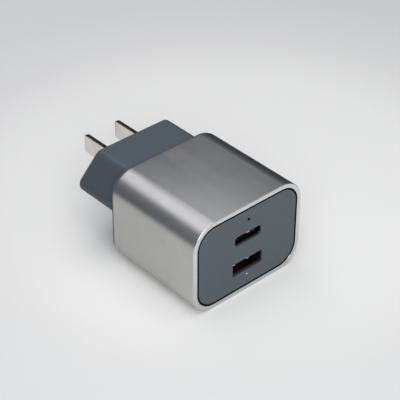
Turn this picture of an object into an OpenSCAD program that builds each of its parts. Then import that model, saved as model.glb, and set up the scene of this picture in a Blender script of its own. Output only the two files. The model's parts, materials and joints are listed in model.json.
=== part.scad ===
// Two-port USB wall charger: aluminium sleeve, inset plastic face, six-sided plug block and two flat blades.
// Front face looks along -Y, blades point along +Y, the flat of the sleeve stands on Z = 0.

/* [Body] */
// Width of the aluminium sleeve
body_w = 44; // [43:0.5:48]
// Height of the aluminium sleeve
body_h = 32.4; // [32:0.2:36]
// Length of the sleeve from front rim to rear edge
body_d = 37.2; // [37:0.2:42]
// Outer corner radius of the sleeve
corner_r = 8.4; // [7:0.2:9]
// Wall thickness of the sleeve, which shows as the bright front rim
sleeve_wall = 1.5; // [1.2:0.1:1.7]

/* [Front face] */
// How far the face sits behind the rim
face_recess = 0.1; // [0:0.1:0.6]
// Thickness of the face plate
face_t = 1.8; // [1.4:0.1:2]
// Shadow gap between the face and the rim
face_gap = 0.45; // [0.1:0.05:0.45]
// Height of the upper port's centre above the sleeve's centre
usb_c_rise = 4.1; // [3.6:0.1:4.6]
// Drop of the lower port's centre below the sleeve's centre
usb_a_drop = 6.4; // [6:0.1:6.5]
// Distance of each indicator from the sleeve's centre
indicator_rise = 10.4; // [10.4:0.1:10.8]

/* [Plug block] */
// Half width of the plug block's flat top
plug_top_half_w = 13.9; // [13:0.1:15]
// Half width of the plug block at its side ridges, before their edges are rounded
plug_ridge_half_w = 23.1; // [20:0.1:23.1]
// Half height of the plug block
plug_half_h = 9.5; // [9.4:0.1:10.5]
// Height of the plug block's centre above the sleeve's centre
plug_lift = 4.6; // [4:0.1:5]
// Length of the plug block behind the sleeve
plug_d = 17.2; // [17:0.2:20]
// Radius of the plug block's long edges
plug_edge_r = 3; // [3:0.25:4]
// Wall thickness of the plug block
plug_wall = 1.6; // [1.4:0.1:1.7]

/* [Blades] */
// Distance between the blades' centres
blade_pitch = 12.7; // [12.6:0.1:12.8]
// Blade thickness
blade_t = 1.5; // [1.4:0.05:1.6]
// Blade height
blade_h = 6.35; // [6:0.05:6.5]
// Length of blade standing out of the plug block
blade_l = 16; // [15.8:0.1:18]
// Height of the blades' centre above the plug block's centre
blade_lift = 1.2; // [0:0.1:1.4]

/* [Boards] */
// Thickness of the circuit boards
board_t = 1.2; // [1:0.1:1.6]
// Height of the main board's underside
board_z = 5; // [4.8:0.1:5.2]

/* [Hidden] */
$fn = 48;
eps = 0.01;    // overrun of a cutting tool
hair = 0.05;   // gap between pieces that only touch

// Stations along Y, front to back
total_d = body_d + plug_d + blade_l;
front_y = -total_d / 2;
face_y = front_y + face_recess;
face_back_y = face_y + face_t;
rear_y = front_y + body_d;
plug_y = rear_y + plug_d;
tip_y = plug_y + blade_l;

// Heights
mid_z = body_h / 2;
plug_z = mid_z + plug_lift;
blade_z = plug_z + blade_lift;
usb_c_z = mid_z + usb_c_rise;
usb_a_z = mid_z - usb_a_drop;
board_top = board_z + board_t;

// Casing
inner_w = body_w - 2 * sleeve_wall;
inner_h = body_h - 2 * sleeve_wall;
inner_r = corner_r - sleeve_wall;
case_gap = 0.1;
case_w = inner_w - 2 * case_gap;
case_h = inner_h - 2 * case_gap;
case_r = inner_r - case_gap;
case_wall = 1.2;
adhesive_t = 0.2;
case_front_y = face_back_y + adhesive_t;
cover_lip_t = 1;      // rear cover that shows behind the sleeve
cover_inset = 0.3;      // step from the sleeve's outline in to the rear cover's
cover_spigot_l = 1.8;   // rear cover inside the sleeve
case_back_y = rear_y - cover_spigot_l - hair;
hook_w = 6;
hook_l = 4;
hook_t = 1;
barb_l = 1;
barb_h = 0.8;
hook_xs = [-8, 8];

// USB-A receptacle: mouth 12.5 x 5.12, shell 0.3
usb_a_w = 12.5;
usb_a_h = 5.12;
shell_t = 0.3;
usb_a_l = 11.4;
port_y = face_back_y + 2 * hair;
board_face_y = port_y + usb_a_l;
port_board_y = board_face_y;
port_board_back_y = port_board_y + board_t;
tongue_w = 11.1;
tongue_t = 1.84;
tongue_top_z = usb_a_z + usb_a_h / 2 - 0.72;
tongue_z = tongue_top_z - tongue_t;
tongue_y = port_y + 0.9;
usb_a_body_y = port_y + 8.9;
contact_xs = [-3.5, -1, 1, 3.5];
contact_w = 1;
contact_t = 0.25;
contact_root_y = usb_a_body_y - 0.3;
contact_root_z = tongue_z + 0.35;
groove_w = 1.4;
groove_h = 0.95;
spring_xs = [-3.2, 3.2];
spring_w = 2;
spring_l = 4.6;
spring_root_y = port_y + 7;
spring_dip = 0.35;

// USB-C receptacle: mouth 8.34 x 2.56, shell 0.3
usb_c_w = 8.34;
usb_c_h = 2.56;
usb_c_shell_l = 8.4;
usb_c_tongue_w = 6.7;
usb_c_tongue_t = 0.7;
usb_c_pitch = 0.5;
usb_c_pad_w = 0.26;
usb_c_pad_t = 0.06;
usb_c_pad_l = 4.2;

// Face windows, indicator holes and light pipes
usb_a_window = [12.1, 4.6, 0.4];
usb_c_window = [10.6, 3.4, 1];
usb_a_lip = 1.5;      // depth of each window before the relief behind it
usb_c_lip = 1;
relief_margin = 0.6;
pipe_tip_d = 0.7;
pipe_hole_d = 0.8;
pipe_d = 1.6;
led_size = [1.6, 0.6, 0.8];

// Plug block
blade_slot_gap = 0.1;
carrier_y = plug_y - 8;
carrier_l = 6;
carrier_w = 22;
carrier_h = 10;
blade_tail_y = plug_y - 9.6;
input_board_y = rear_y + 1.4;
input_board_t = 1;
input_board_w = 23;
input_board_h = 12.8;
input_board_back_y = input_board_y + input_board_t;
contact_strip_t = 0.4;
contact_strip_h = 3.6;
cover_window = [26, 14, 2];   // opening from the sleeve into the plug block
fuse_d = 3.6;
fuse_l = 8;
fuse_lead_d = 0.7;
varistor_d = 5;
varistor_t = 2.8;
x_capacitor_size = [8.4, 5, 6.6];

// Main board layout
lead_d = 0.7;
lead_hole_d = 1;
main_half_w = 17.8;
main_y0 = port_board_back_y + hair;
main_y1 = rear_y - 2.2;
transformer_x = -8.5;
transformer_y = main_y0 + 9.7;
transformer_z = board_top + 2;
core_w = 16;
core_d = 8;
core_half_h = 7.6;
core_back_t = 2.4;
core_leg_t = 2.6;
core_post_w = 5;
bobbin_gap = 0.1;
bobbin_wall = 0.7;
flange_w = 10.4;
flange_d = 14;
bulk_cap_d = 8;
bulk_cap_h = 16;
bulk_cap_xy = [[13.2, main_y0 + 5.3], [13.2, main_y0 + 14.2]];
bulk_cap_z = board_top + 0.4;
jacket_t = 0.15;
output_cap_d = 6.3;
output_cap_h = 8;
output_cap_xy = [[3.4, main_y0 + 3.6], [3.4, main_y0 + 10.3]];
choke_x = 3.4;
choke_y = main_y0 + 15.9;
choke_z = board_top + 5.6;
choke_od = 8;
choke_id = 4;
choke_t = 2.6;
bridge_size = [10, 2.6, 8];
bridge_x = -9;
bridge_y = main_y1 - 1.9;

// Flat parts under the main board
lead_end_z = board_z - 0.8;
ic_size = [5, 6, 0.9];
switch_ic_xy = [8, main_y0 + 7];
rectifier_ic_xy = [-7.5, main_y0 + 8];
pad_size = [4.6, 5.6, 0.35];
pad_z = board_z - ic_size[2] - pad_size[2];
spreader_size = [24, 10, 0.4];
spreader_z = pad_z - spreader_size[2];
sheet_size = [26, 19, 0.25];
sheet_z = spreader_z - 0.35;
chip_size = [1.6, 0.8, 0.6];
chip_xs = [-14:4:14];

// Port board
port_board_half = [15, 12.6];
controller_size = [5, 0.9, 5];

function transformer_leads() = [for (sx = [-1, 1], i = [0:3])
    [transformer_x + 2.5 * (i - 1.5), transformer_y + sx * 5.6]];
function pair_leads(spots, pitch) = [for (p = spots, s = [-1, 1]) [p[0] + s * pitch / 2, p[1]]];
function bridge_leads() = [for (i = [0:3]) [bridge_x + 2.5 * (i - 1.5), bridge_y]];
function choke_leads() = [for (sx = [-1, 1], sy = [-1, 1]) [choke_x + sx * 2.4, choke_y + sy * 1.65]];
y_cap_xy = [-12.4, main_y0 + 1.3];
link_wire_x = 3;
link_wire_y = main_y1 - 1.5;
link_wire_z = plug_z - 5;
link_leads = [for (s = [-1, 1]) [s * link_wire_x, link_wire_y]];
all_leads = concat(transformer_leads(), pair_leads(bulk_cap_xy, 3.5), pair_leads(output_cap_xy, 2.5),
    bridge_leads(), choke_leads(), pair_leads([y_cap_xy], 5), link_leads);

// ---- shared shapes -------------------------------------------------------------------------------

// A flat outline drawn in X and Z, extruded along Y from y0 to y1
module along_y(y0, y1)
    translate([0, y1, 0]) rotate([90, 0, 0]) linear_extrude(y1 - y0) children();

module box_at(low, high) translate(low) cube(high - low);

// A box centred in X on x, standing on z, with its near side at y
module block(x, y, z, size) translate([x - size[0] / 2, y, z]) cube(size);

module rounded_rect(w, h, r) {
    square([w - 2 * r, h], center = true);
    square([w, h - 2 * r], center = true);
    for (sx = [-1, 1], sz = [-1, 1])
        translate([sx * (w / 2 - r), sz * (h / 2 - r)]) circle(r);
}

module pin(x, y, z0, z1, d) translate([x, y, z0]) cylinder(h = z1 - z0, d = d);

module rod_y(x, z, y0, y1, d)
    translate([x, y1, z]) rotate([90, 0, 0]) cylinder(h = y1 - y0, d = d);

module leads(points, z_top)
    for (p = points) pin(p[0], p[1], lead_end_z, z_top, lead_d);

module ring_y(w, h, r, wall, y0, y1)
    difference() {
        along_y(y0, y1) translate([0, mid_z]) rounded_rect(w, h, r);
        along_y(y0 - eps, y1 + eps) translate([0, mid_z]) rounded_rect(w - 2 * wall, h - 2 * wall, r - wall);
    }

// ---- casing --------------------------------------------------------------------------------------

module metal_sleeve() color("silver")
    ring_y(body_w, body_h, corner_r, sleeve_wall, front_y, rear_y);

module window_at(z, window, margin)
    translate([0, z]) rounded_rect(window[0] + 2 * margin, window[1] + 2 * margin, window[2]);

module faceplate_hook(x, side) {
    hook_z = mid_z + side * (case_h / 2 - case_wall - hair);
    arm_z = side > 0 ? hook_z - hook_t : hook_z;
    barb_z = side > 0 ? hook_z - eps : hook_z - barb_h + eps;
    block(x, face_back_y - eps, arm_z, [hook_w, hook_l, hook_t]);
    block(x, face_back_y + hook_l - barb_l, barb_z, [hook_w - 1, barb_l, barb_h]);
}

module front_faceplate() color("slategray") {
    difference() {
        along_y(face_y, face_back_y) difference() {
            translate([0, mid_z])
                rounded_rect(inner_w - 2 * face_gap, inner_h - 2 * face_gap, inner_r - face_gap);
            window_at(usb_c_z, usb_c_window, 0);
            window_at(usb_a_z, usb_a_window, 0);
        }
        along_y(face_y + usb_c_lip, face_back_y + 1) window_at(usb_c_z, usb_c_window, relief_margin);
        along_y(face_y + usb_a_lip, face_back_y + 1) window_at(usb_a_z, usb_a_window, relief_margin);
        for (s = [-1, 1])
            rod_y(0, mid_z + s * indicator_rise, face_y - 1, face_back_y + 1, pipe_hole_d);
    }
    for (x = hook_xs, side = [-1, 1]) faceplate_hook(x, side);
}

module faceplate_adhesive() color("black")
    ring_y(case_w - 0.6, case_h - 0.6, case_r - 0.3, case_wall - 0.35, face_back_y, case_front_y);

module inner_case() color("dimgray") {
    rail_w = 2.6;
    rail_h = 1;
    difference() {
        union() {
            ring_y(case_w, case_h, case_r, case_wall, case_front_y, case_back_y);
            intersection() {
                union() for (s = [-1, 1])
                    block(s * 17.7, main_y0, board_z - rail_h - hair, [rail_w, main_y1 - main_y0, rail_h]);
                along_y(case_front_y, case_back_y) translate([0, mid_z])
                    rounded_rect(case_w - 0.2, case_h - 0.2, case_r - 0.1);
            }
        }
        for (x = hook_xs, side = [-1, 1])
            block(x, face_back_y + hook_l - barb_l - 0.3, mid_z + side * (case_h / 2 - case_wall / 2) - 2,
                [hook_w, barb_l + 0.6, 4]);
    }
}

module rear_cover() color("slategray")
    difference() {
        union() {
            along_y(rear_y + hair / 2, rear_y + cover_lip_t) translate([0, mid_z])
                rounded_rect(body_w - 2 * cover_inset, body_h - 2 * cover_inset, corner_r - cover_inset);
            along_y(rear_y - cover_spigot_l, rear_y + 2 * hair) translate([0, mid_z])
                rounded_rect(case_w, case_h, case_r);
        }
        along_y(rear_y - cover_spigot_l - 1, rear_y - 0.3) translate([0, mid_z])
            rounded_rect(case_w - 2.6, case_h - 2.6, case_r - 1.3);
        along_y(rear_y - 3, rear_y + 3) translate([0, plug_z])
            rounded_rect(cover_window[0], cover_window[1], cover_window[2]);
    }

// ---- plug block ----------------------------------------------------------------------------------

module hex_outline(inset) {
    top = plug_top_half_w;
    side = plug_ridge_half_w;
    h = plug_half_h;
    offset(r = plug_edge_r - inset) offset(delta = -plug_edge_r)
        polygon([[top, h], [side, 0], [top, -h], [-top, -h], [-side, 0], [-top, h]]);
}

module plug_housing() color("slategray")
    difference() {
        along_y(rear_y + cover_lip_t, plug_y) translate([0, plug_z]) hex_outline(0);
        along_y(rear_y, plug_y - 2) translate([0, plug_z]) hex_outline(plug_wall);
        for (s = [-1, 1])
            block(s * blade_pitch / 2, plug_y - 4, blade_z - blade_h / 2 - blade_slot_gap,
                [blade_t + 2 * blade_slot_gap, 6, blade_h + 2 * blade_slot_gap]);
    }

// One blade: a flat bar with a tapered tip
module blade(side) {
    low = blade_z - blade_h / 2;
    high = blade_z + blade_h / 2;
    taper_l = 1;
    taper_z = 0.6;
    taper_x = 0.25;
    intersection() {
        translate([side * blade_pitch / 2 - blade_t / 2, 0, 0]) rotate([90, 0, 90]) linear_extrude(blade_t)
            polygon([[blade_tail_y, low], [tip_y - taper_l, low], [tip_y, low + taper_z],
                [tip_y, high - taper_z], [tip_y - taper_l, high], [blade_tail_y, high]]);
        translate([side * blade_pitch / 2, 0, low - 1]) linear_extrude(blade_h + 2)
            polygon([[-blade_t / 2, blade_tail_y - 1], [blade_t / 2, blade_tail_y - 1],
                [blade_t / 2, tip_y - taper_l], [blade_t / 2 - taper_x, tip_y],
                [taper_x - blade_t / 2, tip_y], [-blade_t / 2, tip_y - taper_l]]);
    }
}

module live_blade() color("gainsboro") blade(1);
module neutral_blade() color("gainsboro") blade(-1);

module blade_carrier() color("whitesmoke")
    difference() {
        block(0, carrier_y, blade_z - carrier_h / 2 - 0.6, [carrier_w, carrier_l - hair, carrier_h]);
        for (s = [-1, 1])
            block(s * blade_pitch / 2, carrier_y - 1, blade_z - blade_h / 2 - 0.02,
                [blade_t + 0.04, carrier_l + 2, blade_h + 0.04]);
        block(0, carrier_y - 1, blade_z - 2.4, [6, carrier_l + 2, 4.4]);
    }

// A leaf that joins a blade's tail to the input board, with a foot bent flat on the board
module contact_strip(side) {
    x0 = blade_pitch / 2 + blade_t / 2;
    leaf = [contact_strip_t, carrier_y - hair - input_board_back_y, contact_strip_h];
    foot = [2.4, contact_strip_t, contact_strip_h];
    block(side * (x0 + contact_strip_t / 2), input_board_back_y, blade_z - leaf[2] / 2, leaf);
    block(side * (x0 + foot[0] / 2), input_board_back_y, blade_z - foot[2] / 2, foot);
}

module live_contact() color("goldenrod") contact_strip(1);
module neutral_contact() color("goldenrod") contact_strip(-1);

// ---- mains input parts ---------------------------------------------------------------------------

module input_board() color("darkgreen")
    difference() {
        block(0, input_board_y, plug_z - input_board_h / 2, [input_board_w, input_board_t, input_board_h]);
        for (s = [-1, 1])
            rod_y(s * link_wire_x, link_wire_z, input_board_y - 1, input_board_back_y + 1, lead_hole_d);
    }

module input_fuse() color("burlywood") {
    y = input_board_back_y + 2.2;
    z = plug_z + 4.4;
    lead_x = fuse_l / 2 + fuse_lead_d;
    translate([0, y, z]) rotate([0, 90, 0]) cylinder(h = fuse_l, d = fuse_d, center = true);
    translate([0, y, z]) rotate([0, 90, 0]) cylinder(h = 2 * lead_x, d = fuse_lead_d, center = true);
    for (s = [-1, 1]) rod_y(s * lead_x, z, input_board_back_y, y + fuse_lead_d / 2, fuse_lead_d);
}

module surge_varistor() color("steelblue") {
    y = input_board_back_y + 0.6;
    rod_y(-9.3, plug_z - 2.6, y, y + varistor_t, varistor_d);
}

module x_capacitor() color("gold")
    block(0.2, input_board_back_y + hair, plug_z - 5.4, x_capacitor_size);

// Each wire leaves the input board forwards and turns down into the main board
module input_link_wires() color("sienna")
    for (s = [-1, 1]) {
        rod_y(s * link_wire_x, link_wire_z, link_wire_y, input_board_back_y, lead_d);
        translate([s * link_wire_x, link_wire_y, link_wire_z]) sphere(d = lead_d);
        pin(s * link_wire_x, link_wire_y, lead_end_z, link_wire_z, lead_d);
    }

// ---- main board and its parts --------------------------------------------------------------------

module main_board() color("darkgreen")
    difference() {
        box_at([-main_half_w, main_y0, board_z], [main_half_w, main_y1, board_top]);
        for (p = all_leads) pin(p[0], p[1], board_z - 1, board_top + 1, lead_hole_d);
    }

module bridge_rectifier() color("dimgray") {
    block(bridge_x, bridge_y - bridge_size[1] / 2, board_top + 0.8, bridge_size);
    leads(bridge_leads(), board_top + 1);
}

module choke_core() color("dimgray")
    translate([choke_x, choke_y, choke_z]) rotate([90, 0, 0]) difference() {
        cylinder(h = choke_t, d = choke_od, center = true);
        cylinder(h = choke_t + 1, d = choke_id, center = true);
    }

// Two coils, one on each side of the ring, each a bent bundle that wraps the core's section
module choke_windings() color("peru") {
    wrap = 0.6;
    for (side = [0, 180])
        translate([choke_x, choke_y, choke_z]) rotate([90, side, 0]) difference() {
            rotate([0, 0, -50]) rotate_extrude(angle = 100) difference() {
                translate([choke_id / 2 - wrap, -choke_t / 2 - wrap])
                    square([(choke_od - choke_id) / 2 + 2 * wrap, choke_t + 2 * wrap]);
                translate([choke_id / 2 - 0.02, -choke_t / 2 - 0.02])
                    square([(choke_od - choke_id) / 2 + 0.04, choke_t + 0.04]);
            }
        }
    leads(choke_leads(), choke_z - 2.6);
}

module bulk_capacitor_cans() color("lightgray") {
    r = bulk_cap_d / 2;
    for (p = bulk_cap_xy)
        translate([p[0], p[1], bulk_cap_z]) rotate_extrude()
            polygon([[0, 0], [r - 0.4, 0], [r, 0.4], [r, 1.6], [r - 0.5, 1.9], [r, 2.2],
                [r, bulk_cap_h - 0.5], [r - 0.5, bulk_cap_h], [0, bulk_cap_h]]);
    leads(pair_leads(bulk_cap_xy, 3.5), bulk_cap_z + eps);
}

module bulk_capacitor_jackets() color("darkslategray") {
    r = bulk_cap_d / 2 + 0.02;
    for (p = bulk_cap_xy)
        translate([p[0], p[1], bulk_cap_z + 2.4]) difference() {
            cylinder(h = bulk_cap_h - 2.9, r = r + jacket_t);
            translate([0, 0, -1]) cylinder(h = bulk_cap_h + 2, r = r);
        }
}

// One E-shaped ferrite half, legs pointing up
module core_half() {
    w = core_w / 2;
    post = core_post_w / 2;
    rotate([90, 0, 0]) linear_extrude(core_d, center = true)
        polygon([[-w, 0], [w, 0], [w, core_half_h], [w - core_leg_t, core_half_h],
            [w - core_leg_t, core_back_t], [post, core_back_t], [post, core_half_h],
            [-post, core_half_h], [-post, core_back_t], [core_leg_t - w, core_back_t],
            [core_leg_t - w, core_half_h], [-w, core_half_h]]);
}

module transformer_core_halves() color("dimgray") {
    translate([transformer_x, transformer_y, transformer_z]) core_half();
    translate([transformer_x, transformer_y, transformer_z + 2 * core_half_h + 0.04])
        mirror([0, 0, 1]) core_half();
}

module coil_ring(size, hole, z, h)
    translate([transformer_x, transformer_y, z]) linear_extrude(h) difference() {
        rounded_rect(size[0], size[1], 0.8);
        square(hole, center = true);
    }

module transformer_bobbin() color("whitesmoke") {
    z0 = transformer_z + core_back_t + bobbin_gap;
    h = 2 * (core_half_h - core_back_t - bobbin_gap);
    hole = [core_post_w + 2 * bobbin_gap, core_d + 2 * bobbin_gap];
    tube = [hole[0] + 2 * bobbin_wall, hole[1] + 2 * bobbin_wall];
    coil_ring(tube, hole, z0, h);
    for (z = [z0, z0 + h - bobbin_wall]) coil_ring([flange_w, flange_d], hole, z, bobbin_wall);
    for (s = [-1, 1])
        block(transformer_x, transformer_y + s * 5.6 - 1.2, board_top + 0.2, [10.4, 2.4, z0 - board_top]);
    leads(transformer_leads(), board_top + 0.4);
}

module transformer_winding() color("orange") {
    z0 = transformer_z + core_back_t + bobbin_gap + bobbin_wall + hair;
    h = 2 * (core_half_h - core_back_t - bobbin_gap - bobbin_wall - hair);
    inner = core_post_w + 2 * (bobbin_gap + bobbin_wall + hair);
    coil_ring([flange_w - 0.4, flange_d - 0.4], [inner, core_d + inner - core_post_w], z0, h);
}

module transformer_tape() color("gold") {
    h = 2 * core_half_h + 0.04;
    difference() {
        block(transformer_x, transformer_y - 2, transformer_z - 0.17, [core_w + 0.34, 4, h + 0.34]);
        block(transformer_x, transformer_y - 3, transformer_z - 0.02, [core_w + 0.04, 6, h + 0.04]);
    }
}

module y_capacitor() color("deepskyblue") {
    rod_y(y_cap_xy[0], board_top + 4.6, y_cap_xy[1] - 1.1, y_cap_xy[1] + 1.1, 7.2);
    leads(pair_leads([y_cap_xy], 5), board_top + 3.4);
}

module optocoupler() color("dimgray")
    block(-4.4, main_y0 + 0.2, board_top, [4.4, 2, 2.1]);

module output_capacitors() color("lightgray") {
    r = output_cap_d / 2;
    z = board_top + 0.3;
    for (p = output_cap_xy)
        translate([p[0], p[1], z]) rotate_extrude()
            polygon([[0, 0], [r - 0.3, 0], [r, 0.3], [r, 1], [r - 0.35, 1.25], [r, 1.5],
                [r, output_cap_h - 0.4], [r - 0.4, output_cap_h], [0, output_cap_h]]);
    leads(pair_leads(output_cap_xy, 2.5), z + eps);
}

module switch_ic() color("dimgray")
    block(switch_ic_xy[0], switch_ic_xy[1], board_z - ic_size[2], ic_size);

module rectifier_ic() color("dimgray")
    block(rectifier_ic_xy[0], rectifier_ic_xy[1], board_z - ic_size[2], ic_size);

module thermal_pads() color("lightsteelblue")
    for (p = [switch_ic_xy, rectifier_ic_xy])
        block(p[0], p[1] + (ic_size[1] - pad_size[1]) / 2, pad_z, pad_size);

module heat_spreader() color("peru") block(0, main_y0 + 6.5, spreader_z, spreader_size);

module insulating_sheet() color("ivory") block(0, main_y0 + 0.2, sheet_z, sheet_size);

// Small resistors and capacitors under the main board
module chip_parts() color("tan")
    for (x = chip_xs, y = [main_y0 + 2.2, main_y1 - 1])
        block(x, y, board_z - chip_size[2], chip_size);

// ---- port board and indicators -------------------------------------------------------------------

module port_board() color("darkgreen")
    difference() {
        box_at([-port_board_half[0], port_board_y, mid_z - port_board_half[1]],
            [port_board_half[0], port_board_back_y, mid_z + port_board_half[1]]);
        for (x = contact_xs)
            block(x, port_board_y - 1, tongue_z + 0.1, [0.9, board_t + 2, 0.65]);
    }

module controller_ic() color("dimgray") block(0, port_board_back_y, mid_z + 6, controller_size);

module indicator_leds() color("white")
    for (s = [-1, 1])
        block(0, port_board_y - led_size[1], mid_z + s * indicator_rise - led_size[2] / 2, led_size);

module light_pipe(side) {
    z = mid_z + side * indicator_rise;
    rod_y(0, z, face_y, face_back_y + 0.5, pipe_tip_d);
    rod_y(0, z, face_back_y + hair, port_board_y - led_size[1] - hair, pipe_d);
}

module upper_light_pipe() color("white") light_pipe(1);
module lower_light_pipe() color("white") light_pipe(-1);

// ---- USB-C receptacle ----------------------------------------------------------------------------

module slot_outline(w, h) rounded_rect(w, h, h / 2 - 0.02);

module usb_c_shell() color("silver") {
    y1 = port_y + usb_c_shell_l;
    difference() {
        along_y(port_y, y1) translate([0, usb_c_z]) slot_outline(usb_c_w + 2 * shell_t, usb_c_h + 2 * shell_t);
        along_y(port_y - 1, y1 + 1) translate([0, usb_c_z]) slot_outline(usb_c_w, usb_c_h);
    }
}

module usb_c_insulator() color("maroon") {
    y1 = port_y + usb_c_shell_l;
    block(0, port_y + 1, usb_c_z - usb_c_tongue_t / 2, [usb_c_tongue_w, usb_c_shell_l - 0.9, usb_c_tongue_t]);
    block(0, y1 - 1.4, usb_c_z - usb_c_h / 2 + 0.1, [6, 1.5, usb_c_h - 0.2]);
    along_y(y1 + hair, port_board_y) translate([0, usb_c_z])
        rounded_rect(usb_c_w + 2 * shell_t, usb_c_h + 2 * shell_t, 0.5);
}

// Twelve flat contacts on each side of the tongue
module usb_c_contacts() color("gold")
    for (side = [-1, 1], i = [0:11]) {
        z = side > 0 ? usb_c_z + usb_c_tongue_t / 2 : usb_c_z - usb_c_tongue_t / 2 - usb_c_pad_t;
        block((i - 5.5) * usb_c_pitch, port_y + 1.5, z, [usb_c_pad_w, usb_c_pad_l, usb_c_pad_t]);
    }

// ---- USB-A receptacle ----------------------------------------------------------------------------

module usb_a_shell() color("silver")
    difference() {
        along_y(port_y, port_board_y) translate([0, usb_a_z])
            rounded_rect(usb_a_w + 2 * shell_t, usb_a_h + 2 * shell_t, 0.5);
        along_y(port_y - 1, port_board_y + 1) translate([0, usb_a_z]) square([usb_a_w, usb_a_h], center = true);
        for (x = spring_xs)
            block(x, spring_root_y - spring_l - 0.2, usb_a_z - usb_a_h,
                [spring_w + 0.4, spring_l + 0.4, 2 * usb_a_h]);
    }

module usb_a_insulator() color("maroon")
    difference() {
        union() {
            block(0, tongue_y, tongue_z, [tongue_w, usb_a_body_y - tongue_y + 0.1, tongue_t]);
            block(0, usb_a_body_y, usb_a_z - usb_a_h / 2 + hair,
                [usb_a_w - 2 * hair, port_board_y - usb_a_body_y, usb_a_h - 2 * hair]);
        }
        for (x = contact_xs) {
            block(x, tongue_y + 0.8, tongue_z - 1, [groove_w, usb_a_body_y - tongue_y - 0.8, groove_h + 1]);
            block(x, usb_a_body_y - 1, tongue_z + 0.1, [groove_w, 8, 0.65]);
        }
    }

// The fixed part of each contact, running through the body to the port board
module usb_a_contact_tails() color("gold")
    for (x = contact_xs)
        block(x, contact_root_y + 0.35, contact_root_z - contact_t / 2,
            [0.8, port_board_back_y - contact_root_y - 0.05, contact_t]);

// A sprung leaf under the tongue: it dips to the contact point and tucks its tip back up
module contact_leaf(x) {
    y = contact_root_y;
    z = contact_root_z;
    t = contact_t / 2;
    dip_y = y - 4.6;
    dip_z = z - 1.05;
    tip_y = y - 6;
    translate([x - contact_w / 2, 0, 0]) rotate([90, 0, 90]) linear_extrude(contact_w)
        polygon([[y + 0.2, z - t], [y - 0.3, z - t], [dip_y + 0.4, dip_z - t], [dip_y - 0.4, dip_z - t],
            [tip_y, z - 0.35 - t], [tip_y, z - 0.35 + t], [dip_y - 0.3, dip_z + t], [dip_y + 0.3, dip_z + t],
            [y - 0.3, z + t], [y + 0.2, z + t]]);
}

module usb_a_contact_1() color("gold") contact_leaf(contact_xs[0]);
module usb_a_contact_2() color("gold") contact_leaf(contact_xs[1]);
module usb_a_contact_3() color("gold") contact_leaf(contact_xs[2]);
module usb_a_contact_4() color("gold") contact_leaf(contact_xs[3]);

// Two leaves cut free from the shell's wall and bent inwards, to grip the plug
module shell_springs(side) {
    wall = side * (usb_a_h / 2 + shell_t / 2);
    y = spring_root_y;
    dip = -side * spring_dip;
    t = shell_t / 2;
    for (x = spring_xs)
        translate([x - spring_w / 2, 0, usb_a_z + wall]) rotate([90, 0, 90]) linear_extrude(spring_w)
            polygon([[y, -t], [y, t], [y - spring_l + 1.2, dip + t], [y - spring_l, dip * 0.4 + t],
                [y - spring_l, dip * 0.4 - t], [y - spring_l + 1.2, dip - t]]);
}

module usb_a_top_springs() color("silver") shell_springs(1);
module usb_a_bottom_springs() color("silver") shell_springs(-1);

// ---- output --------------------------------------------------------------------------------------
metal_sleeve();
front_faceplate();
faceplate_adhesive();
inner_case();
rear_cover();
plug_housing();
live_blade();
neutral_blade();
blade_carrier();
live_contact();
neutral_contact();
input_board();
input_fuse();
surge_varistor();
x_capacitor();
input_link_wires();
main_board();
bridge_rectifier();
choke_core();
choke_windings();
bulk_capacitor_cans();
bulk_capacitor_jackets();
transformer_core_halves();
transformer_bobbin();
transformer_winding();
transformer_tape();
y_capacitor();
optocoupler();
output_capacitors();
switch_ic();
rectifier_ic();
thermal_pads();
heat_spreader();
insulating_sheet();
chip_parts();
port_board();
controller_ic();
indicator_leds();
upper_light_pipe();
lower_light_pipe();
usb_c_shell();
usb_c_insulator();
usb_c_contacts();
usb_a_shell();
usb_a_insulator();
usb_a_contact_tails();
usb_a_contact_1();
usb_a_contact_2();
usb_a_contact_3();
usb_a_contact_4();
usb_a_top_springs();
usb_a_bottom_springs();
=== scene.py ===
"""Looks for the two-port USB wall charger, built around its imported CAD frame.

Units are metres; +Z is up, and the ports face -Y.
"""
import json
import math

import bmesh
import bpy
from mathutils import Matrix, Vector


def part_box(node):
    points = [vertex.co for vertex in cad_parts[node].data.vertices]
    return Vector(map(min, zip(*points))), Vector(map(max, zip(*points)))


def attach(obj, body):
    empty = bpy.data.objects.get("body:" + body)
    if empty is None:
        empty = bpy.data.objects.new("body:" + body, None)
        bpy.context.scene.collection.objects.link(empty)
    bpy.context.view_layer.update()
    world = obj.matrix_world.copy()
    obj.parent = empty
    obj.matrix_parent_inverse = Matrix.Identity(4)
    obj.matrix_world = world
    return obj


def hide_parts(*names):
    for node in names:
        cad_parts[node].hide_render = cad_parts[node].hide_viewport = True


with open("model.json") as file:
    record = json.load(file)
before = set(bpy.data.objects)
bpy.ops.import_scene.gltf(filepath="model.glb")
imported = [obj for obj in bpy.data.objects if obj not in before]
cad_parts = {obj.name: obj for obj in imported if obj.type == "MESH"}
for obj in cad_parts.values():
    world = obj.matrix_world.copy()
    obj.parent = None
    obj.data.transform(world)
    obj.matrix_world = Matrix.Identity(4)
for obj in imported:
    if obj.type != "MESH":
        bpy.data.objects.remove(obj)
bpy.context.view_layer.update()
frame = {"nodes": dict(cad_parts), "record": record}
nodes = frame["nodes"]
MM = 0.001
BODY = "casing"


# ---- sizes taken from the frame --------------------------------------------------------------------

sleeve_low, sleeve_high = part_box("metal_sleeve")
face_low, face_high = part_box("front_faceplate")
cover_low, cover_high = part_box("rear_cover")
plug_low, plug_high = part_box("plug_housing")
usb_a_low, usb_a_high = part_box("usb_a_shell")
usb_c_low, usb_c_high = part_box("usb_c_shell")
sleeve_mid = (sleeve_low + sleeve_high) / 2
plug_z = (plug_low.z + plug_high.z) / 2
usb_a_z = (usb_a_low.z + usb_a_high.z) / 2
usb_c_z = (usb_c_low.z + usb_c_high.z) / 2
MID_Z = sleeve_mid.z

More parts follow.
